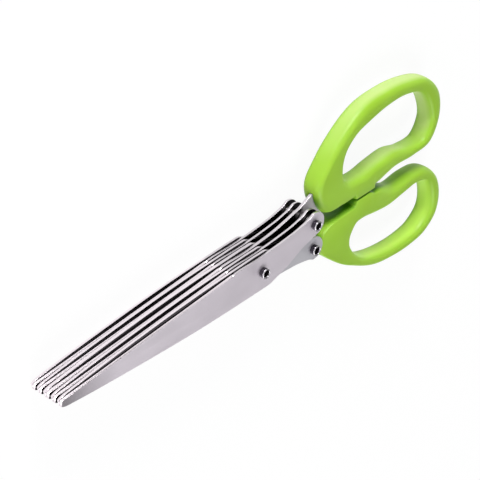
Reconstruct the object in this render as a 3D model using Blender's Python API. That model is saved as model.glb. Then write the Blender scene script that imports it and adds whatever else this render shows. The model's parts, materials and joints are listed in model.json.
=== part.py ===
"""Herb scissors: five pairs of steel blades on one pivot, with two moulded loop handles.

The scissors are closed and lie on their rivet heads. The origin is on the pivot axis, at the
height of the surface that they rest on. +X runs from the pivot to the handles, +Y to the upper
handle and +Z along the pivot. Every size is in metres.

The upper set is the upper handle with its five blades. Its tangs rise to the upper handle, and
in front of the pivot its blades are the lower ones. The lower set is the same, turned over, but
for a sharper shoulder behind the pivot.
"""
import math

import bmesh
import bpy

# Blade stack
PAIR_COUNT = 5
MIDDLE_PAIR = 3
THIN_BLADE = 0.0009
THICK_BLADE = 0.0012
FACE_CLEARANCE = 0.00015
PAIR_GAP = 0.00105

# Blade outline
BLADE_REACH = 0.0910
SPINE_HALF_WIDTH = 0.0069
EDGE_HALF_WIDTH = 0.0063
REAR_RIVET_X = 0.0270
REAR_RIVET_Y = 0.0054
LOBE_RADIUS = 0.0045
LOBE_SHIFT = 0.0005

# Tang of the two middle blades, inside the handles
TANG_REACH = 0.0112
TANG_HEIGHT = 0.0140
SLOT_CLEARANCE = 0.0003

# Rivets and spacers
SHAFT_RADIUS = 0.00155
HOLE_CLEARANCE = 0.00015
SEAT_CLEARANCE = 0.0001
HEAD_RADIUS = 0.0030
HEAD_HEIGHT = 0.0009
HEAD_CHAMFER = 0.0003
FORMED_RADIUS = 0.00195
FORMED_HEIGHT = 0.0019
FORMED_ROUNDING = 0.0002
BORE_RADIUS = 0.0012
BORE_DEPTH = 0.0026
SPACER_RADIUS = 0.0025

# Handles
NOSE_GAP = 0.0006
HANDLE_LENGTH = 0.0711
UPPER_LOOP_HEIGHT = 0.0376
LOWER_LOOP_HEIGHT = 0.0361
HANDLE_HALF_THICKNESS = 0.0044
HANDLE_ROUNDING = 0.0040
SECTION_POWER = 2.7

# Stop pads, where the closed handles meet
STOP_LEVEL = 0.0008
STOP_FRONT_SHARE = 0.28
STOP_LENGTH = 0.0115
STOP_DEPTH = 0.0040
STOP_EDGE = 0.0004
STOP_SIDE = 0.0009
STOP_CLEARANCE = 0.00015

# Mesh fineness
ROUND_SIDES = 20
LOBE_STEPS = 10
SPAN_STEPS = 3
SECTION_SIDES = 12

LOBE_X = REAR_RIVET_X + LOBE_SHIFT
HANDLE_FRONT = LOBE_X + LOBE_RADIUS + NOSE_GAP
HOLE_RADIUS = SHAFT_RADIUS + HOLE_CLEARANCE
TANG_END = HANDLE_FRONT + TANG_REACH

# Back of a blade, from the pivot to the tip: shares of BLADE_REACH and SPINE_HALF_WIDTH
SPINE_SHARES = (
    (0.00, 1.00), (0.11, 0.985), (0.22, 0.96), (0.33, 0.915), (0.44, 0.843), (0.55, 0.746),
    (0.66, 0.638), (0.77, 0.522), (0.88, 0.391), (0.945, 0.297), (0.99, 0.20), (1.00, 0.135),
)
# Cutting edge, from the tip to the pivot: shares of BLADE_REACH and EDGE_HALF_WIDTH
EDGE_SHARES = (
    (1.00, 0.14), (0.994, 0.215), (0.50, 0.672), (0.17, 0.972), (0.14, 1.00), (0.00, 0.99),
)
# Outer side of a short blade's tang, up to the lobe: shares of REAR_RIVET_X and of the lobe's top
TANG_OUTER_SHARES = (
    (0.35, 0.67), (0.54, 0.71), (0.65, 0.74), (0.76, 0.79), (0.845, 0.84), (0.92, 0.895),
)
# The same side of a middle blade, which climbs sooner
MIDDLE_OUTER_SHARES = (
    (0.30, 0.68), (0.45, 0.719), (0.60, 0.783), (0.74, 0.862), (0.86, 0.935),
)
# Inner side of the tang, from the lobe to the shoulder: shares of REAR_RIVET_X and SPINE_HALF_WIDTH
UPPER_INNER_SHARES = (
    (0.88, -0.02), (0.75, -0.155), (0.60, -0.394), (0.46, -0.632), (0.31, -0.80),
    (0.25, -0.86), (0.19, -0.925), (0.13, -0.985),
)
LOWER_INNER_SHARES = (
    (0.88, -0.02), (0.75, -0.155), (0.60, -0.394), (0.46, -0.60), (0.33, -0.68),
    (0.23, -0.73), (0.165, -0.80), (0.125, -0.90), (0.085, -0.975),
)
# Angles of the lobe's arc on a short blade, in degrees
LOBE_START = 102.0
LOBE_END = -84.0
# Buried end of a middle blade: shares of the way from the rear rivet to the tang's end, and of
# TANG_HEIGHT
TANG_END_SHARES = (
    (-0.08, 0.695), (0.05, 0.75), (0.17, 0.81), (0.29, 0.875), (0.40, 0.93), (0.58, 1.00),
    (0.80, 0.97), (0.95, 0.86), (1.00, 0.70), (0.96, 0.50), (0.80, 0.36), (0.55, 0.26),
    (0.30, 0.14), (0.12, 0.04),
)
# Upper handle: outer outline and finger hole, shares of HANDLE_LENGTH and UPPER_LOOP_HEIGHT
UPPER_OUTER_SHARES = (
    (0.185, 0.035), (0.075, 0.065), (0.016, 0.200), (0.000, 0.370), (0.082, 0.595),
    (0.213, 0.815), (0.363, 0.966), (0.545, 1.000), (0.727, 0.966), (0.892, 0.856),
    (0.986, 0.633), (0.982, 0.354), (0.908, 0.140), (0.754, 0.090), (0.605, 0.090),
    (0.468, 0.035), (0.320, 0.035),
)
UPPER_HOLE_SHARES = (
    (0.238, 0.275), (0.219, 0.312), (0.208, 0.390), (0.211, 0.507), (0.240, 0.627),
    (0.311, 0.723), (0.419, 0.777), (0.553, 0.821), (0.705, 0.817), (0.828, 0.736),
    (0.885, 0.558), (0.898, 0.367), (0.843, 0.217), (0.730, 0.216), (0.603, 0.280),
    (0.472, 0.267), (0.344, 0.238),
)
# Lower handle: outer outline and finger hole, shares of HANDLE_LENGTH and LOWER_LOOP_HEIGHT
LOWER_OUTER_SHARES = (
    (0.185, 0.030), (0.080, 0.060), (0.012, 0.160), (0.010, 0.315), (0.085, 0.486),
    (0.180, 0.655), (0.292, 0.801), (0.430, 0.933), (0.583, 0.990), (0.733, 1.000),
    (0.870, 0.951), (0.967, 0.800), (1.000, 0.576), (0.970, 0.335), (0.882, 0.160),
    (0.761, 0.126), (0.614, 0.165), (0.486, 0.075), (0.327, 0.025),
)
LOWER_HOLE_SHARES = (
    (0.304, 0.272), (0.274, 0.325), (0.255, 0.383), (0.250, 0.472), (0.273, 0.579),
    (0.312, 0.676), (0.371, 0.761), (0.466, 0.827), (0.575, 0.868), (0.703, 0.880),
    (0.820, 0.840), (0.900, 0.712), (0.912, 0.507), (0.871, 0.314), (0.768, 0.256),
    (0.656, 0.285), (0.537, 0.315), (0.427, 0.293), (0.359, 0.271),
)


def clear_scene():
    """Remove every object that the scene holds."""
    for thing in list(bpy.data.objects):
        bpy.data.objects.remove(thing, do_unlink=True)


def material(name, colour, roughness, metallic):
    """A plain Principled material."""
    made = bpy.data.materials.new(name)
    made.use_nodes = True
    shader = made.node_tree.nodes["Principled BSDF"]
    shader.inputs["Base Color"].default_value = (*colour, 1.0)
    shader.inputs["Roughness"].default_value = roughness
    shader.inputs["Metallic"].default_value = metallic
    made.diffuse_color = (*colour, 1.0)
    return made


def add_object(name, bm, height, look, parent):
    """Turn a bmesh into a named object at a height on the pivot axis."""
    bmesh.ops.recalc_face_normals(bm, faces=bm.faces)
    mesh = bpy.data.meshes.new(name)
    bm.to_mesh(mesh)
    bm.free()
    mesh.shade_smooth()
    mesh.set_sharp_from_angle(angle=math.radians(35.0))
    mesh.materials.append(look)
    thing = bpy.data.objects.new(name, mesh)
    thing.location.z = height
    thing.parent = parent
    bpy.context.collection.objects.link(thing)
    return thing


def circle_points(centre, radius, sides, start=0.0, end=360.0):
    """Points on a circle, or on an arc with both of its ends."""
    whole = abs(end - start) >= 360.0
    count = sides if whole else sides + 1
    points = []
    for step in range(count):
        angle = math.radians(start + (end - start) * step / sides)
        points.append((centre[0] + radius * math.cos(angle), centre[1] + radius * math.sin(angle)))
    return points


def closed_spline(points, steps):
    """A smooth closed curve through the points."""
    count = len(points)
    curve = []
    for index in range(count):
        before, start = points[index - 1], points[index]
        end, after = points[(index + 1) % count], points[(index + 2) % count]
        for step in range(steps):
            t = step / steps
            weights = (
                -0.5 * t + t * t - 0.5 * t ** 3,
                1.0 - 2.5 * t * t + 1.5 * t ** 3,
                0.5 * t + 2.0 * t * t - 1.5 * t ** 3,
                -0.5 * t * t + 0.5 * t ** 3,
            )
            around = (before, start, end, after)
            curve.append(tuple(sum(w * p[axis] for w, p in zip(weights, around)) for axis in (0, 1)))
    return curve


def offset_outline(points, distance):
    """Move a clockwise outline outwards by a distance."""
    count = len(points)
    moved = []
    for index in range(count):
        (ax, ay), (bx, by), (cx, cy) = points[index - 1], points[index], points[(index + 1) % count]
        first = math.hypot(bx - ax, by - ay)
        second = math.hypot(cx - bx, cy - by)
        nx = -(by - ay) / first - (cy - by) / second
        ny = (bx - ax) / first + (cx - bx) / second
        length = math.hypot(nx, ny)
        nx, ny = nx / length, ny / length
        cosine = max(0.5, (-(by - ay) * nx + (bx - ax) * ny) / first)
        moved.append((bx + nx * distance / cosine, by + ny * distance / cosine))
    return moved


def blade_outline(middle, inner_shares=UPPER_INNER_SHARES):
    """Outline of a blade as it lies in the upper set, clockwise from the tip's cutting corner."""
    outline = [(-x * BLADE_REACH, y * EDGE_HALF_WIDTH) for x, y in EDGE_SHARES]
    lobe_top = REAR_RIVET_Y + LOBE_RADIUS
    outer_shares = MIDDLE_OUTER_SHARES if middle else TANG_OUTER_SHARES
    outline += [(x * REAR_RIVET_X, y * lobe_top) for x, y in outer_shares]
    if middle:
        reach = TANG_END - REAR_RIVET_X
        outline += [(REAR_RIVET_X + x * reach, y * TANG_HEIGHT) for x, y in TANG_END_SHARES]
    else:
        lobe = (LOBE_X, REAR_RIVET_Y)
        outline += circle_points(lobe, LOBE_RADIUS, LOBE_STEPS, LOBE_START, LOBE_END)
    outline += [(x * REAR_RIVET_X, y * SPINE_HALF_WIDTH) for x, y in inner_shares]
    outline += [(-x * BLADE_REACH, -y * SPINE_HALF_WIDTH) for x, y in SPINE_SHARES]
    return outline


def flipped(points):
    """The same outline turned over for the lower set, still clockwise."""
    return [(x, -y) for x, y in reversed(points)]


def add_loop(bm, points, height=0.0):
    """Add a closed loop of edges."""
    verts = [bm.verts.new((x, y, height)) for x, y in points]
    return [bm.edges.new((verts[i - 1], verts[i])) for i in range(len(verts))]


def plate(outline, holes, thickness):
    """A flat plate with holes through it."""
    bm = bmesh.new()
    edges = add_loop(bm, outline)
    for hole in holes:
        edges += add_loop(bm, hole)
    bmesh.ops.triangle_fill(bm, use_beauty=True, edges=edges)
    grown = bmesh.ops.extrude_face_region(bm, geom=bm.faces[:], use_keep_orig=True)
    moved = [item for item in grown["geom"] if isinstance(item, bmesh.types.BMVert)]
    bmesh.ops.translate(bm, vec=(0.0, 0.0, thickness), verts=moved)
    return bm


def turned(profile, sides=ROUND_SIDES):
    """A solid turned about Z from (radius, height) points; a radius of zero closes an end."""
    bm = bmesh.new()
    rings = []
    for radius, height in profile:
        if radius == 0.0:
            rings.append([bm.verts.new((0.0, 0.0, height))])
        else:
            rings.append([bm.verts.new((x, y, height)) for x, y in circle_points((0, 0), radius, sides)])
    pairs = list(zip(rings, rings[1:]))
    if len(rings[0]) > 1:
        pairs.append((rings[-1], rings[0]))
    for lower, upper in pairs:
        for side in range(sides):
            after = (side + 1) % sides
            if len(lower) == 1:
                bm.faces.new((lower[0], upper[side], upper[after]))
            elif len(upper) == 1:
                bm.faces.new((lower[side], upper[0], lower[after]))
            else:
                bm.faces.new((lower[side], upper[side], upper[after], lower[after]))
    return bm


def blade_thickness(pair):
    """The middle pair carries the handles and is thicker."""
    return THICK_BLADE if pair == MIDDLE_PAIR else THIN_BLADE


def stack_levels():
    """Height of the far face of every blade, lower set and upper set, by pair."""
    lower, upper = {}, {}
    height = HEAD_HEIGHT + SEAT_CLEARANCE
    for pair in range(1, PAIR_COUNT + 1):
        thickness = blade_thickness(pair)
        lower[pair] = height
        upper[pair] = height + thickness + FACE_CLEARANCE
        height = upper[pair] + thickness + PAIR_GAP
    return lower, upper


def add_blades(side, levels, sign, look, parent):
    """The five blades of one set."""
    for pair, height in levels.items():
        middle = pair == MIDDLE_PAIR
        if sign > 0:
            outline = blade_outline(middle)
        else:
            outline = flipped(blade_outline(middle, LOWER_INNER_SHARES))
        holes = (
            circle_points((0.0, 0.0), HOLE_RADIUS, ROUND_SIDES),
            circle_points((REAR_RIVET_X, sign * REAR_RIVET_Y), HOLE_RADIUS, ROUND_SIDES),
        )
        bm = plate(outline, holes, blade_thickness(pair))
        add_object(f"{side}_blade_{pair}", bm, height, look, parent)


def add_rivet(name, place, low_face, high_face, look, parent):
    """A semi-tubular rivet: flat head below, shaft, and a rolled hollow end above."""
    head_top = low_face - SEAT_CLEARANCE
    head_bottom = head_top - HEAD_HEIGHT
    formed_bottom = high_face + SEAT_CLEARANCE
    end = formed_bottom + FORMED_HEIGHT
    bore_bottom = end - BORE_DEPTH
    profile = (
        (0.0, head_bottom),
        (HEAD_RADIUS - HEAD_CHAMFER, head_bottom),
        (HEAD_RADIUS, head_bottom + HEAD_CHAMFER),
        (HEAD_RADIUS, head_top),
        (SHAFT_RADIUS, head_top),
        (SHAFT_RADIUS, formed_bottom),
        (FORMED_RADIUS, formed_bottom),
        (FORMED_RADIUS, end - FORMED_ROUNDING),
        (FORMED_RADIUS - FORMED_ROUNDING, end),
        (BORE_RADIUS + FORMED_ROUNDING, end),
        (BORE_RADIUS, end - FORMED_ROUNDING),
        (BORE_RADIUS, bore_bottom),
        (0.0, bore_bottom),
    )
    bm = turned([(radius, height - head_bottom) for radius, height in profile])
    rivet = add_object(name, bm, head_bottom, look, parent)
    rivet.location.x, rivet.location.y = place


def add_spacer(name, place, low_face, high_face, look, parent):
    """A ring round a rivet that fills the space between two blades."""
    bottom = low_face + SEAT_CLEARANCE
    length = high_face - SEAT_CLEARANCE - bottom
    profile = ((HOLE_RADIUS, 0.0), (SPACER_RADIUS, 0.0), (SPACER_RADIUS, length), (HOLE_RADIUS, length))
    spacer = add_object(name, turned(profile), bottom, look, parent)
    spacer.location.x, spacer.location.y = place


def section_point(half_width, angle):
    """Offsets across and through a limb, on its rounded section."""
    rounding = min(half_width, HANDLE_ROUNDING)
    power = 2.0 / SECTION_POWER
    across, through = math.cos(angle), math.sin(angle)
    across = math.copysign(half_width - rounding + rounding * abs(across) ** power, across)
    through = math.copysign(HANDLE_HALF_THICKNESS * abs(through) ** power, through)
    return across, through


def loop_handle(outer, hole):
    """A closed loop whose section spans from the finger hole to the outer outline."""
    bm = bmesh.new()
    rings = []
    for (ox, oy), (hx, hy) in zip(closed_spline(outer, SPAN_STEPS), closed_spline(hole, SPAN_STEPS)):
        half_width = math.hypot(ox - hx, oy - hy) / 2
        nx, ny = (ox - hx) / (2 * half_width), (oy - hy) / (2 * half_width)
        ring = []
        for side in range(SECTION_SIDES):
            angle = 2 * math.pi * (side + 0.5) / SECTION_SIDES
            across, through = section_point(half_width, angle)
            ring.append(bm.verts.new(((ox + hx) / 2 + nx * across, (oy + hy) / 2 + ny * across, through)))
        rings.append(ring)
    for index, ring in enumerate(rings):
        last = rings[index - 1]
        for side in range(SECTION_SIDES):
            after = (side + 1) % SECTION_SIDES
            bm.faces.new((last[side], last[after], ring[after], ring[side]))
    return bm


def add_helper(name, bm, height, parent):
    """A hidden solid that a Boolean uses."""
    bmesh.ops.recalc_face_normals(bm, faces=bm.faces)
    mesh = bpy.data.meshes.new(name)
    bm.to_mesh(mesh)
    bm.free()
    helper = bpy.data.objects.new(name, mesh)
    helper.location.z = height
    helper.parent = parent
    helper.hide_render = True
    helper.display_type = "WIRE"
    bpy.context.collection.objects.link(helper)
    return helper


def combine(target, helper, operation):
    """Join or cut a helper with an exact Boolean."""
    step = target.modifiers.new(helper.name, "BOOLEAN")
    step.object = helper
    step.operation = operation
    step.solver = "EXACT"


def stop_pad(sign):
    """The block of a stop pad, with its flat face on the contact plane."""
    front = HANDLE_FRONT + STOP_FRONT_SHARE * HANDLE_LENGTH
    middle = STOP_LEVEL + sign * (STOP_CLEARANCE + STOP_DEPTH / 2)
    thickness = 2 * (HANDLE_HALF_THICKNESS - STOP_SIDE)
    bm = bmesh.new()
    bmesh.ops.create_cube(bm, size=1.0)
    bmesh.ops.scale(bm, vec=(STOP_LENGTH, STOP_DEPTH, thickness), verts=bm.verts)
    touching = [edge for edge in bm.edges if all(sign * v.co.y < 0 for v in edge.verts)]
    bmesh.ops.bevel(bm, geom=touching, offset=STOP_EDGE, segments=1, affect="EDGES")
    bmesh.ops.translate(bm, vec=(front + STOP_LENGTH / 2, middle, 0.0), verts=bm.verts)
    return bm


def add_handle(side, sign, shares, height_scale, middle_height, blade_height, look, parent):
    """One moulded handle with its stop pad and the slot for the middle tang."""
    outer, hole = [
        [(HANDLE_FRONT + x * HANDLE_LENGTH, sign * y * height_scale) for x, y in table]
        for table in shares
    ]
    handle = add_object(f"{side}_handle", loop_handle(outer, hole), middle_height, look, parent)
    pad = add_helper(f"{side}_stop_pad", stop_pad(sign), middle_height, parent)
    combine(handle, pad, "UNION")
    tang = offset_outline(blade_outline(middle=True), SLOT_CLEARANCE)
    if sign < 0:
        tang = flipped(tang)
    slot = plate(tang, (), THICK_BLADE + 2 * SLOT_CLEARANCE)
    cutter = add_helper(f"{side}_tang_slot", slot, blade_height - SLOT_CLEARANCE, parent)
    combine(handle, cutter, "DIFFERENCE")


def add_set_axis(name):
    """An empty on the pivot axis that carries one set of blades."""
    axis = bpy.data.objects.new(name, None)
    bpy.context.collection.objects.link(axis)
    return axis


def build():
    """Make both sets and what joins them."""
    clear_scene()
    blade_steel = material("blade_steel", (0.62, 0.60, 0.62), 0.32, 1.0)
    rivet_steel = material("rivet_steel", (0.55, 0.54, 0.55), 0.25, 1.0)
    spacer_steel = material("spacer_steel", (0.70, 0.69, 0.68), 0.35, 1.0)
    green_plastic = material("green_plastic", (0.36, 0.68, 0.06), 0.28, 0.0)

    upper_set = add_set_axis("upper_set_axis")
    lower_set = add_set_axis("lower_set_axis")
    lower, upper = stack_levels()
    add_blades("upper", upper, 1, blade_steel, upper_set)
    add_blades("lower", lower, -1, blade_steel, lower_set)

    last = PAIR_COUNT
    upper_top = upper[last] + blade_thickness(last)
    lower_top = lower[last] + blade_thickness(last)
    pivot_place = (0.0, 0.0)
    upper_place = (REAR_RIVET_X, REAR_RIVET_Y)
    lower_place = (REAR_RIVET_X, -REAR_RIVET_Y)
    add_rivet("pivot_rivet", pivot_place, lower[1], upper_top, rivet_steel, upper_set)
    add_rivet("upper_rear_rivet", upper_place, upper[1], upper_top, rivet_steel, upper_set)
    add_rivet("lower_rear_rivet", lower_place, lower[1], lower_top, rivet_steel, lower_set)
    for pair in range(1, last):
        thickness = blade_thickness(pair)
        upper_face = upper[pair] + thickness
        lower_face = lower[pair] + thickness
        following = pair + 1
        add_spacer(f"pivot_spacer_{pair}", pivot_place, upper_face, lower[following], spacer_steel, upper_set)
        add_spacer(f"upper_spacer_{pair}", upper_place, upper_face, upper[following], spacer_steel, upper_set)
        add_spacer(f"lower_spacer_{pair}", lower_place, lower_face, lower[following], spacer_steel, lower_set)

    middle_height = upper[MIDDLE_PAIR] - FACE_CLEARANCE / 2
    add_handle("upper", 1, (UPPER_OUTER_SHARES, UPPER_HOLE_SHARES), UPPER_LOOP_HEIGHT,
               middle_height, upper[MIDDLE_PAIR], green_plastic, upper_set)
    add_handle("lower", -1, (LOWER_OUTER_SHARES, LOWER_HOLE_SHARES), LOWER_LOOP_HEIGHT,
               middle_height, lower[MIDDLE_PAIR], green_plastic, lower_set)


build()
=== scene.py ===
"""Looks of the herb scissors: fine meshes, finishes, floor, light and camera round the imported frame.

The scissors lie closed on their rivet heads. +X runs from the pivot to the handles, +Y to the
upper handle and +Z along the pivot to the near side. Sizes are in metres and angles in degrees.
Each pair's near blade belongs to the upper set, whose cutting edges face +Y in front of the pivot.
A sign of 1 stands for the upper set and -1 for the lower one, whose blades are turned over.
"""

import json
import math

import bmesh
import bpy
from mathutils import Matrix, Vector

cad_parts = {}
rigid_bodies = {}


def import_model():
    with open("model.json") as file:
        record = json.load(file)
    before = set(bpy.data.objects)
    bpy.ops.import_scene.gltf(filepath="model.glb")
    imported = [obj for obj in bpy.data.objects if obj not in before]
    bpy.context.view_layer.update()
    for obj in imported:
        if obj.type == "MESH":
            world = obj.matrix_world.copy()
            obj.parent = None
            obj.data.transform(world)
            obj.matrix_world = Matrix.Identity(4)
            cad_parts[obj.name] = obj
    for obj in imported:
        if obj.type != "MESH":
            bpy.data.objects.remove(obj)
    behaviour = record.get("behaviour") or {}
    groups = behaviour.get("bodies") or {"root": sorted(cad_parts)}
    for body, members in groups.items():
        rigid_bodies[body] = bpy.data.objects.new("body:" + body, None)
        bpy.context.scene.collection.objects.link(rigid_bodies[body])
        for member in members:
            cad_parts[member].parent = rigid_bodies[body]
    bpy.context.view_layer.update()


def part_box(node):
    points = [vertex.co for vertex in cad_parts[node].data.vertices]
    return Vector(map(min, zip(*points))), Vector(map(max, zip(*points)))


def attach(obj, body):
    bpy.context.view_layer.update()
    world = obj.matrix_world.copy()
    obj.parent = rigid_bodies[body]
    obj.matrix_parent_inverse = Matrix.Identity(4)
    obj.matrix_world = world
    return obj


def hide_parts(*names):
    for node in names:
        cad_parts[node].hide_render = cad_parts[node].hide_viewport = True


# Blades
PAIR_COUNT = 5
MIDDLE_PAIR = 3
BLADE_REACH = 0.0910
SPINE_HALF_WIDTH = 0.0069
EDGE_HALF_WIDTH = 0.0063
REAR_RIVET_X = 0.0270
REAR_RIVET_Y = 0.0054
LOBE_RADIUS = 0.0045
LOBE_X = 0.0275
LOBE_START = 102.0
LOBE_END = -84.0
TANG_END = 0.0438
TANG_HEIGHT = 0.0140
HOLE_RADIUS = 0.0017
EDGE_ROUNDING = 0.00008

# The bevel ground along a cutting edge, which begins in front of the pivot
GRIND_WIDTH = 0.00030
GRIND_DEPTH = 0.0006
GRIND_START = -0.0133
GRIND_RAMP = 0.0008

# Where one finish of a face gives way to another: places on X, and half the width of the change
WEB_START = 0.0085
TANG_START = 0.0270
GROUND_FADE = 0.0010
# Where the outer faces turn darker towards the tip
DARK_TIP_PLACE = -0.0780
DARK_TIP_FADE = 0.0110

# Rivets and spacers
SHAFT_RADIUS = 0.00155
SEAT_CLEARANCE = 0.0001
HEAD_RADIUS = 0.0030
HEAD_ROUNDING = 0.0005
FORMED_RADIUS = 0.00195
FORMED_WAIST = 0.00180
BORE_RADIUS = 0.00135
BORE_DEPTH = 0.0026
BORE_CONE = 0.0006
SPACER_RADIUS = 0.0025
SPACER_CHAMFER = 0.00015

# Handles: a loop's section is a rounded box, whose corners follow a superellipse
HANDLE_FRONT = 0.0326
HANDLE_LENGTH = 0.0711
UPPER_LOOP_HEIGHT = 0.0376
LOWER_LOOP_HEIGHT = 0.0361
HANDLE_ROUNDING = 0.0042
HOLE_ROUNDING = 0.0030
HANDLE_POWER = 2.7
SLOT_CLEARANCE = 0.0003

# Stop pads, where the closed handles meet, with the lengths of their front and back ramps
PAD_LEVEL = 0.0008
PAD_CLEARANCE = 0.00008
PAD_FRONT = 0.0525
PAD_BACK = 0.0640
UPPER_PAD_RAMPS = (0.0007, 0.0007)
LOWER_PAD_RAMPS = (0.0012, 0.0030)
PAD_ROUNDING = 0.0007

# The lower handle's top edges are as crisp as its pad's up to a place on X. An edge counts as a
# top one by the Y of the way it faces: not at all at -CRISP_TURN, and fully at CRISP_TURN.
CRISP_TURN = 0.3
CRISP_END = 0.075
CRISP_FADE = 0.012

# Mesh fineness
CURVE_STEPS = 6
LOBE_STEPS = 40
ROUND_SIDES = 64
LOOP_STEPS = 20
SECTION_SIDES = 56
ROUNDING_STEPS = 3
HEAD_STEPS = 6
LIP_STEPS = 12

# The angle from which an edge is sharp, how much large faces outweigh small ones in a normal, and
# the least cosine that the reach of an offset corner is divided by
CREASE_ANGLE = 40.0
FLAT_WEIGHT = 100
LEAST_COSINE = 0.5

# Material slots of a blade and of a rivet
FAR_FACE, EDGE, NEAR_FACE = range(3)
BARREL, RIM, BORE = range(3)

# Steel finishes: light colour, dark colour, least roughness and most roughness
SATIN_FINISH = ((0.80, 0.745, 0.805), (0.74, 0.69, 0.745), 0.46, 0.54)
DARK_TIP_FINISH = ((0.40, 0.37, 0.40), (0.32, 0.30, 0.32), 0.46, 0.54)
WEB_FINISH = ((0.68, 0.67, 0.71), (0.62, 0.61, 0.65), 0.46, 0.54)
# The polished finish is painted near black: painted shade and dark reflection where the blades face
# each other
POLISHED_PAINTED_SHADE_FINISH = ((0.11, 0.106, 0.113), (0.09, 0.087, 0.093), 0.05, 0.08)
BEVEL_FINISH = ((0.93, 0.85, 0.90), (0.90, 0.825, 0.87), 0.162, 0.172)
GROUND_FINISH = ((0.72, 0.675, 0.71), (0.68, 0.635, 0.67), 0.30, 0.36)
# The barrel and bore finishes are painted near black: painted shade on the rivet's flank and down its
# bore
BARREL_PAINTED_SHADE_FINISH = ((0.05, 0.045, 0.055), (0.03, 0.027, 0.035), 0.20, 0.30)
RIM_FINISH = ((0.52, 0.50, 0.53), (0.42, 0.40, 0.43), 0.20, 0.32)
BORE_PAINTED_SHADE_FINISH = ((0.08, 0.07, 0.08), (0.04, 0.035, 0.04), 0.35, 0.50)
SPACER_FINISH = ((0.46, 0.44, 0.43), (0.36, 0.34, 0.33), 0.25, 0.38)

# Steel grain: features a metre along each axis, and how deep the bump is
LENGTHWISE_GRAIN = (50.0, 3500.0, 3500.0)
CROSSWISE_GRAIN = (2500.0, 300.0, 300.0)
TURNED_GRAIN = (900.0, 900.0, 2500.0)
STEEL_CLOUDS = (60.0, 90.0, 90.0)
SATIN_GRAIN_DEPTH = 0.000004
WEB_GRAIN_DEPTH = 0.000002
POLISHED_GRAIN_DEPTH = 0.000001
BEVEL_GRAIN_DEPTH = 0.0000003
TURNED_GRAIN_DEPTH = 0.000004
GRAIN_STRENGTH = 0.5
STREAK_DETAIL = 4.0
STREAK_ROUGHNESS = 0.6

# Noise: what clouds and peel have, and the two values that most of it lies between
NOISE_DETAIL = 2.0
NOISE_ROUGHNESS = 0.5
NOISE_LOW = 0.3
NOISE_HIGH = 0.7

# Green plastic: a dark and a light colour for its faces, for the painted shade in its crevices
# and for the painted highlight on each handle's walls
FACE_GREENS = ((0.355, 0.63, 0.042), (0.395, 0.69, 0.060))
# Painted shade: the deep green that crevices and the groove between the handles take
CREVICE_PAINTED_SHADE_GREENS = ((0.06, 0.25, 0.001), (0.08, 0.29, 0.002))
# Painted highlight: the walls are a lighter green than the faces, where light falls on them
UPPER_WALL_HIGHLIGHT_GREENS = ((0.52, 0.71, 0.20), (0.57, 0.76, 0.25))
LOWER_WALL_HIGHLIGHT_GREENS = ((0.57, 0.90, 0.11), (0.62, 0.94, 0.14))
PLASTIC_ROUGHNESS = (0.36, 0.46)
PLASTIC_SPECULAR = 0.32
PLASTIC_CLOUDS = (45.0, 45.0, 45.0)
PEEL_GRAIN = (700.0, 700.0, 700.0)
PEEL_DEPTH = 0.00004
PEEL_STRENGTH = 0.25
FINE_GRAIN = (5200.0, 5200.0, 5200.0)
FINE_DEPTH = 0.000008
FINE_STRENGTH = 0.2
GLOW_SHARE = 0.15
GLOW_COLOUR = (0.5, 1.0, 0.2)
GLOW_DEPTH = 0.0015

# The walls' painted highlight, a lighter green, comes in from WALL_START to WALL_END on X, from
# WALL_NEAR to WALL_FAR beside it, and as the Z of the normal sinks from the second tilt share to the
# first
WALL_START = 0.038
WALL_END = 0.064
WALL_NEAR = 0.006
WALL_FAR = 0.012
WALL_TILT_SHARES = (0.10, 0.60)

# The crevices' painted shade, a deep green, gives way between these open shares of the space
# within CREVICE_DEPTH
CREVICE_DEPTH = 0.0065
OPEN_SPACE_SHARES = (0.35, 0.90)

# Camera: the view that the photograph has, with the lens and the sensor in millimetres
CAMERA_PLACE = (-0.3136, 0.31430, 0.3247)
CAMERA_FORWARD = (0.5788, -0.5638, -0.5892)
CAMERA_UP = (0.4374, 0.8245, -0.3591)
CAMERA_LENS = 119.2
CAMERA_SENSOR = 36.0

# Floor: its paint, its white glow, and the share of glow that the camera and gloss see
FLOOR_SIZE = 6.0
FLOOR_PAINT = (0.86, 0.86, 0.86, 1.0)
FLOOR_WHITE = (1.0, 1.0, 1.0, 1.0)
FLOOR_STRENGTH = 1.04
FLOOR_GLOW_SHARE = 0.90

# Studio: its light, and the dark bar that gloss shows, with the directions across and towards it
STUDIO_LIGHT = (0.20, 0.20, 0.205)
STUDIO_WHITE = (1.0, 1.0, 1.0)
STUDIO_DARK = (0.01, 0.01, 0.012)
DARK_BAR_ACROSS = (0.713, 0.0, -0.701)
DARK_BAR_SIDE = (0.70, 0.0, 0.71)
DARK_BAR_HALF = 0.17
DARK_BAR_FADE = 0.05

# Lights: name, place, size and power in watts
LIGHT_TARGET = (0.06, 0.0, 0.0)
LIGHTS = (
    ("key", (-0.02, 0.94, 0.22), 0.36, 8.2),
    ("top", (-0.50, -1.17, 1.40), 1.10, 17.5),
    ("front", (-0.85, 0.10, 0.34), 0.40, 1.3),
)

# Back of a blade, from the pivot to the tip: shares of BLADE_REACH and SPINE_HALF_WIDTH
SPINE_SHARES = (
    (0.00, 1.00), (0.11, 0.985), (0.22, 0.96), (0.33, 0.915), (0.44, 0.843), (0.55, 0.746),
    (0.66, 0.638), (0.77, 0.522), (0.88, 0.391), (0.945, 0.297), (0.99, 0.20), (1.00, 0.135),
)
# Cutting edge, from the tip to the pivot: shares of BLADE_REACH and EDGE_HALF_WIDTH
EDGE_SHARES = (
    (1.00, 0.14), (0.994, 0.215), (0.50, 0.672), (0.17, 0.972), (0.14, 1.00), (0.00, 0.99),
)
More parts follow.
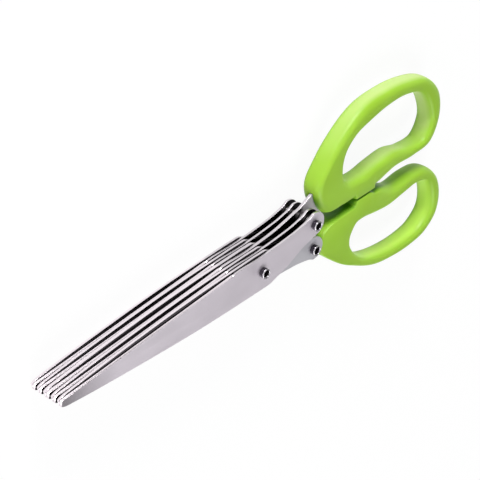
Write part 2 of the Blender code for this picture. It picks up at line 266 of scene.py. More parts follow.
# Outer side of a short blade's tang, up to the lobe: shares of REAR_RIVET_X and of the lobe's top
TANG_OUTER_SHARES = (
    (0.35, 0.67), (0.54, 0.71), (0.65, 0.74), (0.76, 0.79), (0.845, 0.84), (0.92, 0.895),
)
# The same side of a middle blade, which climbs sooner
MIDDLE_OUTER_SHARES = (
    (0.30, 0.68), (0.45, 0.719), (0.60, 0.783), (0.74, 0.862), (0.86, 0.935),
)
# Inner side of the tang, from the lobe to the shoulder: shares of REAR_RIVET_X and SPINE_HALF_WIDTH
UPPER_INNER_SHARES = (
    (0.88, -0.02), (0.75, -0.155), (0.60, -0.394), (0.46, -0.632), (0.31, -0.80),
    (0.25, -0.86), (0.19, -0.925), (0.13, -0.985),
)
LOWER_INNER_SHARES = (
    (0.88, -0.02), (0.75, -0.155), (0.60, -0.394), (0.48, -0.58), (0.36, -0.68),
    (0.275, -0.74), (0.21, -0.81), (0.165, -0.90), (0.12, -0.975),
)
# Buried end of a middle blade: shares of the way from the rear rivet to the tang's end, and of
# TANG_HEIGHT
TANG_END_SHARES = (
    (-0.08, 0.695), (0.05, 0.75), (0.17, 0.81), (0.29, 0.875), (0.40, 0.93), (0.58, 1.00),
    (0.80, 0.97), (0.95, 0.86), (1.00, 0.70), (0.96, 0.50), (0.80, 0.36), (0.55, 0.26),
    (0.30, 0.14), (0.12, 0.04),
)
# Upper handle: outer outline and finger hole, shares of HANDLE_LENGTH and UPPER_LOOP_HEIGHT
UPPER_OUTER_SHARES = (
    (0.185, 0.035), (0.075, 0.065), (0.016, 0.200), (0.000, 0.370), (0.082, 0.595),
    (0.213, 0.815), (0.363, 0.966), (0.545, 1.000), (0.727, 0.966), (0.892, 0.856),
    (0.986, 0.633), (0.982, 0.354), (0.908, 0.140), (0.754, 0.090), (0.605, 0.090),
    (0.468, 0.035), (0.320, 0.035),
)
UPPER_HOLE_SHARES = (
    (0.238, 0.275), (0.219, 0.312), (0.208, 0.390), (0.211, 0.507), (0.240, 0.627),
    (0.311, 0.723), (0.419, 0.777), (0.553, 0.821), (0.705, 0.817), (0.828, 0.736),
    (0.885, 0.558), (0.898, 0.367), (0.843, 0.217), (0.730, 0.216), (0.603, 0.280),
    (0.472, 0.267), (0.344, 0.238),
)
# Lower handle: outer outline and finger hole, shares of HANDLE_LENGTH and LOWER_LOOP_HEIGHT
LOWER_OUTER_SHARES = (
    (0.185, 0.050), (0.080, 0.072), (0.012, 0.160), (0.010, 0.315), (0.085, 0.486),
    (0.180, 0.655), (0.292, 0.801), (0.430, 0.933), (0.583, 0.990), (0.733, 1.000),
    (0.870, 0.951), (0.967, 0.800), (1.000, 0.576), (0.970, 0.335), (0.882, 0.160),
    (0.761, 0.118), (0.614, 0.128), (0.486, 0.030), (0.327, 0.040),
)
LOWER_HOLE_SHARES = (
    (0.304, 0.272), (0.274, 0.325), (0.255, 0.383), (0.250, 0.472), (0.273, 0.579),
    (0.312, 0.676), (0.371, 0.761), (0.466, 0.827), (0.575, 0.868), (0.703, 0.880),
    (0.820, 0.840), (0.900, 0.712), (0.912, 0.507), (0.871, 0.314), (0.768, 0.256),
    (0.656, 0.285), (0.537, 0.315), (0.427, 0.293), (0.359, 0.271),
)


# Shader nodes

def new_material(name):
    """An empty node material with its Principled shader."""
    made = bpy.data.materials.new(name)
    made.use_nodes = True
    return made, made.node_tree, made.node_tree.nodes["Principled BSDF"]


def add_node(tree, kind, **values):
    """Add a node and set its inputs by name."""
    node = tree.nodes.new(kind)
    for name, value in values.items():
        node.inputs[name.replace("_", " ")].default_value = value
    return node


def noise(tree, stretch, detail=NOISE_DETAIL, roughness=NOISE_ROUGHNESS):
    """Noise in the object's own metres, with as many features a metre on each axis as stretch says."""
    place = tree.nodes.new("ShaderNodeTexCoord")
    mapping = add_node(tree, "ShaderNodeMapping", Scale=stretch)
    texture = add_node(tree, "ShaderNodeTexNoise", Scale=1.0, Detail=detail, Roughness=roughness)
    tree.links.new(place.outputs["Object"], mapping.inputs["Vector"])
    tree.links.new(mapping.outputs["Vector"], texture.inputs["Vector"])
    return texture.outputs["Fac"]


def ranged(tree, value, low, high, start=NOISE_LOW, end=NOISE_HIGH):
    """Spread a value that runs from start to end over the range from low to high."""
    limits = {"From_Min": start, "From_Max": end, "To_Min": low, "To_Max": high}
    node = add_node(tree, "ShaderNodeMapRange", **limits)
    tree.links.new(value, node.inputs["Value"])
    return node.outputs["Result"]


def calculated(tree, operation, *values, clamp=False):
    """A calculation on linked values and plain numbers."""
    node = tree.nodes.new("ShaderNodeMath")
    node.operation = operation
    node.use_clamp = clamp
    for value, socket in zip(values, node.inputs):
        if isinstance(value, float):
            socket.default_value = value
        else:
            tree.links.new(value, socket)
    return node.outputs["Value"]


def mix_node(tree, kind, value):
    """The two inputs and the result of a mix that a value from 0 to 1 works."""
    node = tree.nodes.new("ShaderNodeMix")
    node.data_type = kind
    factor, first, second = [item for item in node.inputs if item.enabled]
    tree.links.new(value, factor)
    return first, second, next(item for item in node.outputs if item.enabled)


def blended(tree, value, first_colour, second_colour):
    """A colour between two plain ones, by a value from 0 to 1."""
    first, second, result = mix_node(tree, "RGBA", value)
    first.default_value = (*first_colour, 1.0)
    second.default_value = (*second_colour, 1.0)
    return result


def mixed(tree, kind, value, first_value, second_value):
    """Two linked values or colours, mixed by a value from 0 to 1."""
    first, second, result = mix_node(tree, kind, value)
    tree.links.new(first_value, first)
    tree.links.new(second_value, second)
    return result


def bumped(tree, shader, heights):
    """Chain bumps of (value, strength, distance) into a shader's normal."""
    normal = None
    for value, strength, distance in heights:
        bump = add_node(tree, "ShaderNodeBump", Strength=strength, Distance=distance)
        tree.links.new(value, bump.inputs["Height"])
        if normal:
            tree.links.new(normal, bump.inputs["Normal"])
        normal = bump.outputs["Normal"]
    tree.links.new(normal, shader.inputs["Normal"])


def split_place(tree, output):
    """The X, Y and Z of one output of the texture coordinates, such as Object or Normal."""
    place = tree.nodes.new("ShaderNodeTexCoord")
    split = tree.nodes.new("ShaderNodeSeparateXYZ")
    tree.links.new(place.outputs[output], split.inputs["Vector"])
    return [split.outputs[axis] for axis in "XYZ"]


# Steel

def steel(name, finish, grain, grain_depth, behind=None, place=0.0, fade=GROUND_FADE):
    """Steel with a grain, faint clouds in its colour, and streaks in its gloss.

    A second finish takes over behind a place on X.
    """
    made, tree, shader = new_material(name)
    shader.inputs["Metallic"].default_value = 1.0
    clouds = ranged(tree, noise(tree, STEEL_CLOUDS), 0.0, 1.0)
    streaks = noise(tree, grain, STREAK_DETAIL, STREAK_ROUGHNESS)
    light, dark, smooth, rough = finish
    colour = blended(tree, clouds, light, dark)
    gloss = ranged(tree, streaks, smooth, rough)
    if behind:
        light, dark, smooth, rough = behind
        share = ranged(tree, split_place(tree, "Object")[0], 0.0, 1.0, place - fade, place + fade)
        colour = mixed(tree, "RGBA", share, colour, blended(tree, clouds, light, dark))
        gloss = mixed(tree, "FLOAT", share, gloss, ranged(tree, streaks, smooth, rough))
    tree.links.new(colour, shader.inputs["Base Color"])
    tree.links.new(gloss, shader.inputs["Roughness"])
    bumped(tree, shader, [(streaks, GRAIN_STRENGTH, grain_depth)])
    return made


def satin_steel():
    """The outermost faces: satin, and darker towards the tip."""
    return steel("satin_steel", DARK_TIP_FINISH, LENGTHWISE_GRAIN, SATIN_GRAIN_DEPTH,
                 SATIN_FINISH, DARK_TIP_PLACE, DARK_TIP_FADE)


def polished_painted_shade_steel():
    """The faces that blades turn towards each other: glossy, and painted dark as shade between the
    blades.
    """
    return steel("polished_painted_shade_steel", POLISHED_PAINTED_SHADE_FINISH, LENGTHWISE_GRAIN, POLISHED_GRAIN_DEPTH)


def painted_shade_front_web_steel():
    """The lower set's nearest face: glossy and painted dark as shade in front, and ground behind the
    pivot.
    """
    return steel("painted_shade_front_web_steel", POLISHED_PAINTED_SHADE_FINISH, LENGTHWISE_GRAIN, WEB_GRAIN_DEPTH,
                 WEB_FINISH, WEB_START)


def painted_shade_front_tang_steel():
    """A middle blade's near face: glossy and painted dark as shade, and satin on its tang."""
    return steel("painted_shade_front_tang_steel", POLISHED_PAINTED_SHADE_FINISH, LENGTHWISE_GRAIN, POLISHED_GRAIN_DEPTH,
                 SATIN_FINISH, TANG_START)


def edge_steel():
    """The edges: bright as far back as the bevel runs, and duller behind it."""
    return steel("ground_edge_steel", BEVEL_FINISH, CROSSWISE_GRAIN, BEVEL_GRAIN_DEPTH,
                 GROUND_FINISH, GRIND_START)


def rivet_steel(part, finish):
    """One part of a rivet: its barrel, rim or bore."""
    return steel(f"rivet_steel_{part}", finish, TURNED_GRAIN, TURNED_GRAIN_DEPTH)


def spacer_steel():
    """The spacers."""
    return steel("spacer_steel", SPACER_FINISH, TURNED_GRAIN, TURNED_GRAIN_DEPTH)


# Plastic

def painted_wall_highlight_share(tree):
    """Where the walls' painted highlight shows: 1 on the loops' walls, and 0 on flat faces, near the
    noses and between the handles.
    """
    facing_up = split_place(tree, "Normal")[2]
    along, aside, _ = split_place(tree, "Object")
    steep = ranged(tree, calculated(tree, "ABSOLUTE", facing_up), 1.0, 0.0, *WALL_TILT_SHARES)
    behind = ranged(tree, along, 0.0, 1.0, WALL_START, WALL_END)
    outside = ranged(tree, calculated(tree, "ABSOLUTE", aside), 0.0, 1.0, WALL_NEAR, WALL_FAR)
    return calculated(tree, "MULTIPLY", calculated(tree, "MULTIPLY", steep, behind), outside)


def open_share(tree):
    """1 in the open, and 0 deep in a crevice, where the plastic is painted a shaded deep green."""
    space = add_node(tree, "ShaderNodeAmbientOcclusion", Distance=CREVICE_DEPTH)
    return ranged(tree, space.outputs["AO"], 0.0, 1.0, *OPEN_SPACE_SHARES)


def green_plastic(side, wall_highlight_greens):
    """Moulded plastic, a little translucent, with a faint orange peel.

    Its walls are lighter by a painted highlight, and its crevices deep green by painted shade.
    """
    made, tree, shader = new_material(f"green_plastic_{side}")
    clouds = ranged(tree, noise(tree, PLASTIC_CLOUDS), 0.0, 1.0)
    peel = noise(tree, PEEL_GRAIN)
    fine = noise(tree, FINE_GRAIN)
    face = blended(tree, clouds, *FACE_GREENS)
    wall = blended(tree, clouds, *wall_highlight_greens)
    crevice = blended(tree, clouds, *CREVICE_PAINTED_SHADE_GREENS)
    # Painted highlight: the walls turn a lighter green
    colour = mixed(tree, "RGBA", painted_wall_highlight_share(tree), face, wall)
    # Painted shade: the plastic turns deep green where a crevice closes it in
    colour = mixed(tree, "RGBA", open_share(tree), crevice, colour)
    tree.links.new(colour, shader.inputs["Base Color"])
    tree.links.new(ranged(tree, fine, *PLASTIC_ROUGHNESS), shader.inputs["Roughness"])
    shader.inputs["Specular IOR Level"].default_value = PLASTIC_SPECULAR
    shader.inputs["Subsurface Weight"].default_value = GLOW_SHARE
    shader.inputs["Subsurface Radius"].default_value = GLOW_COLOUR
    shader.inputs["Subsurface Scale"].default_value = GLOW_DEPTH
    bumped(tree, shader, [(peel, PEEL_STRENGTH, PEEL_DEPTH), (fine, FINE_STRENGTH, FINE_DEPTH)])
    return made


# Outlines

def between(first, second, share):
    """The number at a share of the way from one to another."""
    return first + (second - first) * share


def eased(value):
    """Smooth step from 0 to 1."""
    t = min(1.0, max(0.0, value))
    return t * t * (3 - 2 * t)


def smooth_run(points, steps, closed=False):
    """A smooth curve through the points, whose tangents allow for uneven spacing."""
    count = len(points)
    spots = [Vector(p) for p in points]
    tangents = []
    for index, spot in enumerate(spots):
        before = spots[index - 1] if closed or index else spot
        after = spots[(index + 1) % count] if closed or index < count - 1 else spot
        back, ahead = (spot - before).length, (after - spot).length
        if back == 0.0 or ahead == 0.0:
            tangents.append((after - before).normalized())
        else:
            slope = (spot - before) / back * ahead + (after - spot) / ahead * back
            tangents.append(slope / (back + ahead))
    curve = []
    for index in range(count if closed else count - 1):
        start, end = spots[index], spots[(index + 1) % count]
        length = (end - start).length
        first, second = tangents[index] * length, tangents[(index + 1) % count] * length
        for step in range(steps):
            t = step / steps
            curve.append(
                start * (2 * t ** 3 - 3 * t * t + 1) + first * (t ** 3 - 2 * t * t + t)
                + end * (3 * t * t - 2 * t ** 3) + second * (t ** 3 - t * t)
            )
    if not closed:
        curve.append(spots[-1])
    return [tuple(p) for p in curve]


def arc(centre, radius, sides, start=0.0, end=360.0):
    """Points on a circle, or on an arc with both of its ends."""
    whole = abs(end - start) >= 360.0
    points = []
    for step in range(sides if whole else sides + 1):
        angle = math.radians(between(start, end, step / sides))
        points.append((centre[0] + radius * math.cos(angle), centre[1] + radius * math.sin(angle)))
    return points


def offset_outline(points, distances):
    """Move each point of a clockwise outline outwards by its own distance."""
    count = len(points)
    moved = []
    for index in range(count):
        (ax, ay), (bx, by), (cx, cy) = points[index - 1], points[index], points[(index + 1) % count]
        first = math.hypot(bx - ax, by - ay)
        second = math.hypot(cx - bx, cy - by)
        nx = -(by - ay) / first - (cy - by) / second
        ny = (bx - ax) / first + (cx - bx) / second
        length = math.hypot(nx, ny)
        nx, ny = nx / length, ny / length
        cosine = max(LEAST_COSINE, (-(by - ay) * nx + (bx - ax) * ny) / first)
        reach = distances[index] / cosine
        moved.append((bx + nx * reach, by + ny * reach))
    return moved


def blade_outline(middle, inner_shares=UPPER_INNER_SHARES):
    """Outline of a blade as it lies in the upper set, clockwise from the tip's cutting corner."""
    lobe_top = REAR_RIVET_Y + LOBE_RADIUS
    edge = [(-x * BLADE_REACH, y * EDGE_HALF_WIDTH) for x, y in EDGE_SHARES]
    outer_shares = MIDDLE_OUTER_SHARES if middle else TANG_OUTER_SHARES
    outer = [(x * REAR_RIVET_X, y * lobe_top) for x, y in outer_shares]
    if middle:
        reach = TANG_END - REAR_RIVET_X
        end = [(REAR_RIVET_X + x * reach, y * TANG_HEIGHT) for x, y in TANG_END_SHARES]
    else:
        lobe = (LOBE_X, REAR_RIVET_Y)
        end = arc(lobe, LOBE_RADIUS, LOBE_STEPS, LOBE_START, LOBE_END)
    inner = [(x * REAR_RIVET_X, y * SPINE_HALF_WIDTH) for x, y in inner_shares]
    spine = [(-x * BLADE_REACH, -y * SPINE_HALF_WIDTH) for x, y in SPINE_SHARES]
    tip, edge = edge[:2], edge[2:]
    if middle:
        return tip + smooth_run(edge + outer + end + inner + spine, CURVE_STEPS)
    first = smooth_run(edge + outer + end[:1], CURVE_STEPS)
    last = smooth_run(end[-1:] + inner + spine, CURVE_STEPS)
    return tip + first[:-1] + end + last[1:]


def flipped(points):
    """The same outline turned over for the lower set, still clockwise."""
    return [(x, -y) for x, y in reversed(points)]


# Meshes

def mesh_of(name, bm):
    """Turn a bmesh into a mesh."""
    mesh = bpy.data.meshes.new(name)
    bm.to_mesh(mesh)
    bm.free()
    return mesh


def add_object(name, data):
    """Put a new object with this data into the scene."""
    made = bpy.data.objects.new(name, data)
    bpy.context.scene.collection.objects.link(made)
    return made


def add_piece(name, bm, looks, node, body):
    """Turn a bmesh into a piece that stands for a CAD node and rides on its body."""
    bmesh.ops.recalc_face_normals(bm, faces=bm.faces)
    mesh = mesh_of(name, bm)
    mesh.shade_smooth()
    mesh.set_sharp_from_angle(angle=math.radians(CREASE_ANGLE))
    for look in looks:
        mesh.materials.append(look)
    piece = add_object(name, mesh)
    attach(piece, body)
    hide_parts(node)
    return piece


def ring_of(bm, points, height):
    """A ring of vertices at one height, or at a height for each point."""
    heights = height if isinstance(height, list) else [height] * len(points)
    return [bm.verts.new((x, y, z)) for (x, y), z in zip(points, heights)]


def join_rings(bm, first, second, look=0):
    """Faces between two rings of as many vertices."""
    for index in range(len(first)):
        face = bm.faces.new((first[index - 1], first[index], second[index], second[index - 1]))
        face.material_index = look


def cap(bm, rings, look=0):
    """Fill the flat space inside the first ring and outside the others."""
    edges = []
    for ring in rings:
        for index in range(len(ring)):
            ends = (ring[index - 1], ring[index])
            edges.append(bm.edges.get(ends) or bm.edges.new(ends))
    filled = bmesh.ops.triangle_fill(bm, use_beauty=True, edges=edges)
    for item in filled["geom"]:
        if isinstance(item, bmesh.types.BMFace):
            item.material_index = look


# Blades

def grind_share(x, y):
    """How much of the cutting bevel a point of an upper-set outline has."""
    if y < 0.0:
        return 0.0
    return eased((GRIND_START - x) / GRIND_RAMP)


def edge_rings(bm, outline, shares, ground, face, way):
    """Rings from a face of a blade to its wall, round where a point's share is 0 and straight at 1.

    On a ground face they take the bevel's size by the same shares. A way of 1 leads up from it.
    """
    width = GRIND_WIDTH if ground else EDGE_ROUNDING
    depth = GRIND_DEPTH if ground else EDGE_ROUNDING
    widths = [between(EDGE_ROUNDING, width, share) for share in shares]
    depths = [between(EDGE_ROUNDING, depth, share) for share in shares]
    rings = []
    for step in range(ROUNDING_STEPS + 1):
        straight = step / ROUNDING_STEPS
        angle = math.pi / 2 * straight
        outwards = [between(math.sin(angle), straight, share) for share in shares]
        inside = [between(1 - math.cos(angle), straight, share) for share in shares]
        points = offset_outline(outline, [w * (o - 1) for w, o in zip(widths, outwards)])
        rings.append(ring_of(bm, points, [face + way * d * i for d, i in zip(depths, inside)]))
    return rings


def blade_mesh(sign, middle, bottom, top):
    """One blade: rounded edges, and a bevel ground on the outer side of its cutting edge."""
    outline = blade_outline(middle, UPPER_INNER_SHARES if sign > 0 else LOWER_INNER_SHARES)
    shares = [grind_share(x, y) for x, y in outline]
    if sign < 0:
        outline = flipped(outline)
        shares.reverse()
    bm = bmesh.new()
    rising = edge_rings(bm, outline, shares, sign < 0, bottom, 1)
    sinking = edge_rings(bm, outline, shares, sign > 0, top, -1)
    stack = rising + sinking[::-1]
    for lower, upper in zip(stack, stack[1:]):
        join_rings(bm, lower, upper, EDGE)
    places = ((0.0, 0.0), (REAR_RIVET_X, sign * REAR_RIVET_Y))
    low_holes = [ring_of(bm, arc(place, HOLE_RADIUS, ROUND_SIDES), bottom) for place in places]
    high_holes = [ring_of(bm, arc(place, HOLE_RADIUS, ROUND_SIDES), top) for place in places]
    for low, high in zip(low_holes, high_holes):
        join_rings(bm, low, high, EDGE)
    cap(bm, [stack[0], *low_holes], FAR_FACE)
    cap(bm, [stack[-1], *high_holes], NEAR_FACE)
    return bm


def near_look(sign, pair):
    """Which look a blade's near face has."""
    if pair == PAIR_COUNT:
        return "outer" if sign > 0 else "painted shade, web"
    return "painted shade, tang" if pair == MIDDLE_PAIR else "inner"


def add_blade_set(side, sign, looks):
    """The five blades of one set, each with looks for its far face, its edges and its near face."""
    for pair in range(1, PAIR_COUNT + 1):
        node = f"{side}_blade_{pair}"
        low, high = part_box(node)
        bm = blade_mesh(sign, pair == MIDDLE_PAIR, low.z, high.z)
        far_look = "outer" if sign < 0 and pair == 1 else "inner"
        chosen = [looks[far_look], looks["edge"], looks[near_look(sign, pair)]]
        piece = add_piece(f"{node}_ground", bm, chosen, node, f"{side}_set")
        step = piece.modifiers.new("flat faces", "WEIGHTED_NORMAL")
        step.keep_sharp = True
        step.weight = FLAT_WEIGHT


def add_blades():
    """Both sets of blades."""
    looks = {
        "outer": satin_steel(),
        "inner": polished_painted_shade_steel(),
        "painted shade, web": painted_shade_front_web_steel(),
        "painted shade, tang": painted_shade_front_tang_steel(),
        "edge": edge_steel(),
    }
    add_blade_set("upper", 1, looks)
    add_blade_set("lower", -1, looks)


# Rivets and spacers

def turned(profile, bands):
    """A solid turned about Z from (radius, height) points; bands gives each band's material slot."""
    bm = bmesh.new()
    rings = []
    for radius, height in profile:
        if radius == 0.0:
            rings.append([bm.verts.new((0.0, 0.0, height))])
        else:
            rings.append(ring_of(bm, arc((0.0, 0.0), radius, ROUND_SIDES), height))
    pairs = list(zip(rings, rings[1:]))
    if len(rings[0]) > 1:
        pairs.append((rings[-1], rings[0]))
    for (lower, upper), look in zip(pairs, bands):
        if len(lower) > 1 and len(upper) > 1:
            join_rings(bm, lower, upper, look)
            continue
        point, ring = (lower[0], upper) if len(lower) == 1 else (upper[0], lower)
        for index in range(ROUND_SIDES):
            bm.faces.new((point, ring[index - 1], ring[index])).material_index = look
    return bm


def add_turned(name, ending, profile, bands, looks, body):
    """A turned piece at the middle of the CAD node that it stands for."""
    low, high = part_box(name)
    place = (low + high) / 2
    bm = turned(profile, bands)
    bmesh.ops.translate(bm, vec=(place.x, place.y, 0.0), verts=bm.verts)
    return add_piece(f"{name}_{ending}", bm, looks, name, body)


def add_rivet(name, low_face, high_face, looks, body):
    """A semi-tubular rivet: low rounded head, shaft, and a rolled hollow end above."""
    low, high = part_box(name)
    head_top = low_face - SEAT_CLEARANCE
    formed_bottom = high_face + SEAT_CLEARANCE
    bore_bottom = high.z - BORE_DEPTH
    lip = (FORMED_RADIUS - BORE_RADIUS) / 2
    head_corner = (HEAD_RADIUS - HEAD_ROUNDING, low.z + HEAD_ROUNDING)
    lip_centre = (BORE_RADIUS + lip, high.z - lip)
    profile = [
        (0.0, low.z), *arc(head_corner, HEAD_ROUNDING, HEAD_STEPS, -90.0, 0.0),
        (HEAD_RADIUS, head_top), (SHAFT_RADIUS, head_top), (SHAFT_RADIUS, formed_bottom),
        (FORMED_WAIST, formed_bottom),
    ]
    bands = [BARREL] * len(profile) + [RIM] * LIP_STEPS + [BORE] * 2
    profile += arc(lip_centre, lip, LIP_STEPS, 0.0, 180.0)
    profile += [(BORE_RADIUS, bore_bottom + BORE_CONE), (0.0, bore_bottom)]
    add_turned(name, "turned", profile, bands, looks, body)


def stack_faces(side):
    """Heights of the lowest and the highest face of a blade set."""
    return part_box(f"{side}_blade_1")[0].z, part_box(f"{side}_blade_{PAIR_COUNT}")[1].z


def add_rivets():
    """The pivot rivet through both sets, and the rear rivet of each."""
    finishes = (("barrel", BARREL_PAINTED_SHADE_FINISH), ("rim", RIM_FINISH), ("bore", BORE_PAINTED_SHADE_FINISH))
    looks = [rivet_steel(part, finish) for part, finish in finishes]
    upper_low, upper_high = stack_faces("upper")
    lower_low, lower_high = stack_faces("lower")
    add_rivet("pivot_rivet", lower_low, upper_high, looks, "upper_set")
    add_rivet("upper_rear_rivet", upper_low, upper_high, looks, "upper_set")
    add_rivet("lower_rear_rivet", lower_low, lower_high, looks, "lower_set")


def add_spacer(name, look, body):
    """A ring round a rivet, chamfered at both ends."""
    low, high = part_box(name)
    edge = SPACER_RADIUS - SPACER_CHAMFER
    profile = [
        (HOLE_RADIUS, low.z), (edge, low.z), (SPACER_RADIUS, low.z + SPACER_CHAMFER),
        (SPACER_RADIUS, high.z - SPACER_CHAMFER), (edge, high.z), (HOLE_RADIUS, high.z),
    ]
    add_turned(name, "ring", profile, [0] * len(profile), [look], body)


def add_spacers():
    """The spacers between the pairs, on all three rivets."""
    look = spacer_steel()
    for number in range(1, PAIR_COUNT):
        add_spacer(f"pivot_spacer_{number}", look, "upper_set")
        add_spacer(f"upper_spacer_{number}", look, "upper_set")
        add_spacer(f"lower_spacer_{number}", look, "lower_set")


# Handles

def pad_share(x, sign):
    """How far a place along the handle is on its stop pad, from 0 to 1."""
    front, back = UPPER_PAD_RAMPS if sign > 0 else LOWER_PAD_RAMPS
    return eased((x - PAD_FRONT) / front) * eased((PAD_BACK - x) / back)


def crisp_share(x, facing_y, sign):
    """How crisp the outer edges of a handle's section are away from its pad, from 0 to 1."""
    if sign > 0:
        return 0.0
    turned_up = eased((facing_y + CRISP_TURN) / (2 * CRISP_TURN))
    return turned_up * eased((CRISP_END - x) / CRISP_FADE)


def section_point(half_width, half_thickness, angle, outer_rounding):
    """Offsets across and through a limb; the outer side has its own rounding."""
    across, through = math.cos(angle), math.sin(angle)
    rounding = min(half_width, outer_rounding if across > 0.0 else HOLE_ROUNDING)
    power = 2 / HANDLE_POWER
    across = math.copysign(half_width - rounding + rounding * abs(across) ** power, across)
    through = math.copysign(half_thickness * abs(through) ** power, through)
    return across, through


def loop_mesh(outer, hole, sign, middle, half_thickness):
    """A closed loop whose section spans from the finger hole to the outer outline."""
    bm = bmesh.new()
    rings = []
    pairs = zip(smooth_run(outer, LOOP_STEPS, True), smooth_run(hole, LOOP_STEPS, True))
    for (outer_x, outer_y), (hole_x, hole_y) in pairs:
        on_pad = pad_share(outer_x, sign) if abs(outer_y) < abs(hole_y) else 0.0
        outer_y = between(outer_y, PAD_LEVEL + sign * PAD_CLEARANCE, on_pad)
        width = math.hypot(outer_x - hole_x, outer_y - hole_y)
        nx, ny = (outer_x - hole_x) / width, (outer_y - hole_y) / width
        crisp = max(on_pad, crisp_share(outer_x, ny, sign))
        rounding = between(HANDLE_ROUNDING, PAD_ROUNDING, crisp)
        ring = []
        for side in range(SECTION_SIDES):
            angle = 2 * math.pi * (side + 0.5) / SECTION_SIDES
            across, through = section_point(width / 2, half_thickness, angle, rounding)
            x, y = (outer_x + hole_x) / 2 + nx * across, (outer_y + hole_y) / 2 + ny * across
            ring.append(bm.verts.new((x, y, middle + through)))
        rings.append(ring)
    for index, ring in enumerate(rings):
        join_rings(bm, rings[index - 1], ring)
    return bm


def slot_cutter(name, sign, bottom, top):
    """A plate round a middle blade, which cuts its slot."""
    outline = blade_outline(True)
    outline = offset_outline(outline, [SLOT_CLEARANCE] * len(outline))
    if sign < 0:
        outline = flipped(outline)
    bm = bmesh.new()
    low = ring_of(bm, outline, bottom - SLOT_CLEARANCE)
    high = ring_of(bm, outline, top + SLOT_CLEARANCE)
    join_rings(bm, low, high)
    cap(bm, [low])
    cap(bm, [high])
    bmesh.ops.recalc_face_normals(bm, faces=bm.faces)
    return add_object(name, mesh_of(name, bm))


def bake_modifiers(piece):
    """Keep what the modifiers make as the piece's own mesh."""
    graph = bpy.context.evaluated_depsgraph_get()
    mesh = bpy.data.meshes.new_from_object(piece.evaluated_get(graph))
    old = piece.data
    piece.modifiers.clear()
    piece.data = mesh
    bpy.data.meshes.remove(old)


def cut_slot(piece, cutter):
    """Cut the cutter's shape out of a piece, and delete the cutter."""
    step = piece.modifiers.new("slot", "BOOLEAN")
    step.object = cutter
    step.operation = "DIFFERENCE"
    step.solver = "EXACT"
    bake_modifiers(piece)
    bpy.data.objects.remove(cutter)
    piece.data.set_sharp_from_angle(angle=math.radians(CREASE_ANGLE))


def add_handle(side, sign, outlines, loop_height, wall_highlight_greens):
    """One moulded handle with its stop pad and the slot for the middle blade's tang."""
    node = f"{side}_handle"
    low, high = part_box(node)
    blade_low, blade_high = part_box(f"{side}_blade_{MIDDLE_PAIR}")
    outer, hole = [
        [(HANDLE_FRONT + x * HANDLE_LENGTH, sign * y * loop_height) for x, y in shares]
        for shares in outlines
    ]
    look = green_plastic(side, wall_highlight_greens)
    bm = loop_mesh(outer, hole, sign, (low.z + high.z) / 2, (high.z - low.z) / 2)
    piece = add_piece(f"{node}_moulding", bm, [look], node, f"{side}_set")
    cut_slot(piece, slot_cutter(f"{side}_slot", sign, blade_low.z, blade_high.z))


def add_handles():
    """Both handles, whose loops differ in shape and height."""
    upper_outlines = (UPPER_OUTER_SHARES, UPPER_HOLE_SHARES)
    lower_outlines = (LOWER_OUTER_SHARES, LOWER_HOLE_SHARES)
    add_handle("upper", 1, upper_outlines, UPPER_LOOP_HEIGHT, UPPER_WALL_HIGHLIGHT_GREENS)
    add_handle("lower", -1, lower_outlines, LOWER_LOOP_HEIGHT, LOWER_WALL_HIGHLIGHT_GREENS)


# Stage

def seen_share(tree):
    """1 for camera, glossy and transmission rays, and 0 for the rest."""
    rays = tree.nodes.new("ShaderNodeLightPath").outputs
    seen = calculated(tree, "ADD", rays["Is Camera Ray"], rays["Is Glossy Ray"], clamp=True)
    return calculated(tree, "ADD", seen, rays["Is Transmission Ray"], clamp=True)


def floor_material():
    """Pale floor that shows white to the camera and in reflections, and keeps the shadow."""
    made, tree, shader = new_material("pale_floor")
    tree.nodes.remove(shader)
    paint = add_node(tree, "ShaderNodeBsdfDiffuse", Color=FLOOR_PAINT)
    glow = add_node(tree, "ShaderNodeEmission", Color=FLOOR_WHITE, Strength=FLOOR_STRENGTH)
    mix = tree.nodes.new("ShaderNodeMixShader")
    glow_share = calculated(tree, "MULTIPLY", seen_share(tree), FLOOR_GLOW_SHARE)
    tree.links.new(glow_share, mix.inputs["Fac"])
    tree.links.new(paint.outputs["BSDF"], mix.inputs[1])
    tree.links.new(glow.outputs["Emission"], mix.inputs[2])
    tree.links.new(mix.outputs["Shader"], tree.nodes["Material Output"].inputs["Surface"])
    return made


def add_floor():
    """The floor that the scissors lie on."""
    half = FLOOR_SIZE / 2
    bm = bmesh.new()
    bm.faces.new(ring_of(bm, [(-half, -half), (half, -half), (half, half), (-half, half)], 0.0))
    mesh = mesh_of("floor", bm)
    mesh.materials.append(floor_material())
    floor = add_object("floor", mesh)


def facing(tree, direction):
    """The cosine between the direction that a ray of the world comes from and a given one."""
    place = tree.nodes.new("ShaderNodeTexCoord")
    dot = tree.nodes.new("ShaderNodeVectorMath")
    dot.operation = "DOT_PRODUCT"
    dot.inputs[1].default_value = Vector(direction).normalized()
    tree.links.new(place.outputs["Generated"], dot.inputs[0])
    return dot.outputs["Value"]


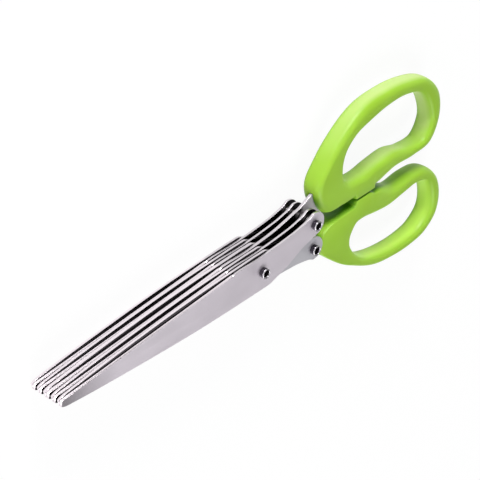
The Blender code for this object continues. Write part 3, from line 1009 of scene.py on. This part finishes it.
def add_world():
    """Even white, dimmer as light than in gloss, with a dark bar up behind the handles."""
    world = bpy.data.worlds.new("studio")
    bpy.context.scene.world = world
    world.use_nodes = True
    tree = world.node_tree
    across = calculated(tree, "ABSOLUTE", facing(tree, DARK_BAR_ACROSS))
    beside = ranged(tree, across, 0.0, 1.0, DARK_BAR_HALF, DARK_BAR_HALF + DARK_BAR_FADE)
    before = ranged(tree, facing(tree, DARK_BAR_SIDE), 1.0, 0.0, 0.0, DARK_BAR_FADE)
    gloss = blended(tree, calculated(tree, "MAXIMUM", beside, before), STUDIO_DARK, STUDIO_WHITE)
    rays = tree.nodes.new("ShaderNodeLightPath").outputs
    plain = blended(tree, rays["Is Camera Ray"], STUDIO_LIGHT, STUDIO_WHITE)
    seen = mixed(tree, "RGBA", rays["Is Glossy Ray"], plain, gloss)
    background = tree.nodes["Background"]
    background.inputs["Strength"].default_value = 1.0
    tree.links.new(seen, background.inputs["Color"])


def add_lights():
    """Square soft lights that point at the scissors."""
    for name, place, size, power in LIGHTS:
        lamp = bpy.data.lights.new(name, "AREA")
        lamp.shape = "SQUARE"
        lamp.size = size
        lamp.energy = power
        light = add_object(name, lamp)
        light.location = place
        light.rotation_mode = "QUATERNION"
        light.rotation_quaternion = (Vector(LIGHT_TARGET) - Vector(place)).to_track_quat("-Z", "Y")


def add_camera():
    """The camera of the photograph's view."""
    data = bpy.data.cameras.new("camera")
    data.lens = CAMERA_LENS
    data.sensor_width = CAMERA_SENSOR
    forward = Vector(CAMERA_FORWARD).normalized()
    right = forward.cross(Vector(CAMERA_UP)).normalized()
    up = right.cross(forward)
    camera = add_object("camera", data)
    camera.matrix_world = Matrix((right, up, -forward)).transposed().to_4x4()
    camera.location = CAMERA_PLACE
    bpy.context.scene.camera = camera


for thing in list(bpy.data.objects):
    bpy.data.objects.remove(thing, do_unlink=True)
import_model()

add_camera()
add_blades()
add_rivets()
add_spacers()
add_handles()
add_floor()
add_world()
add_lights()
bpy.context.scene.view_settings.view_transform = "Standard"
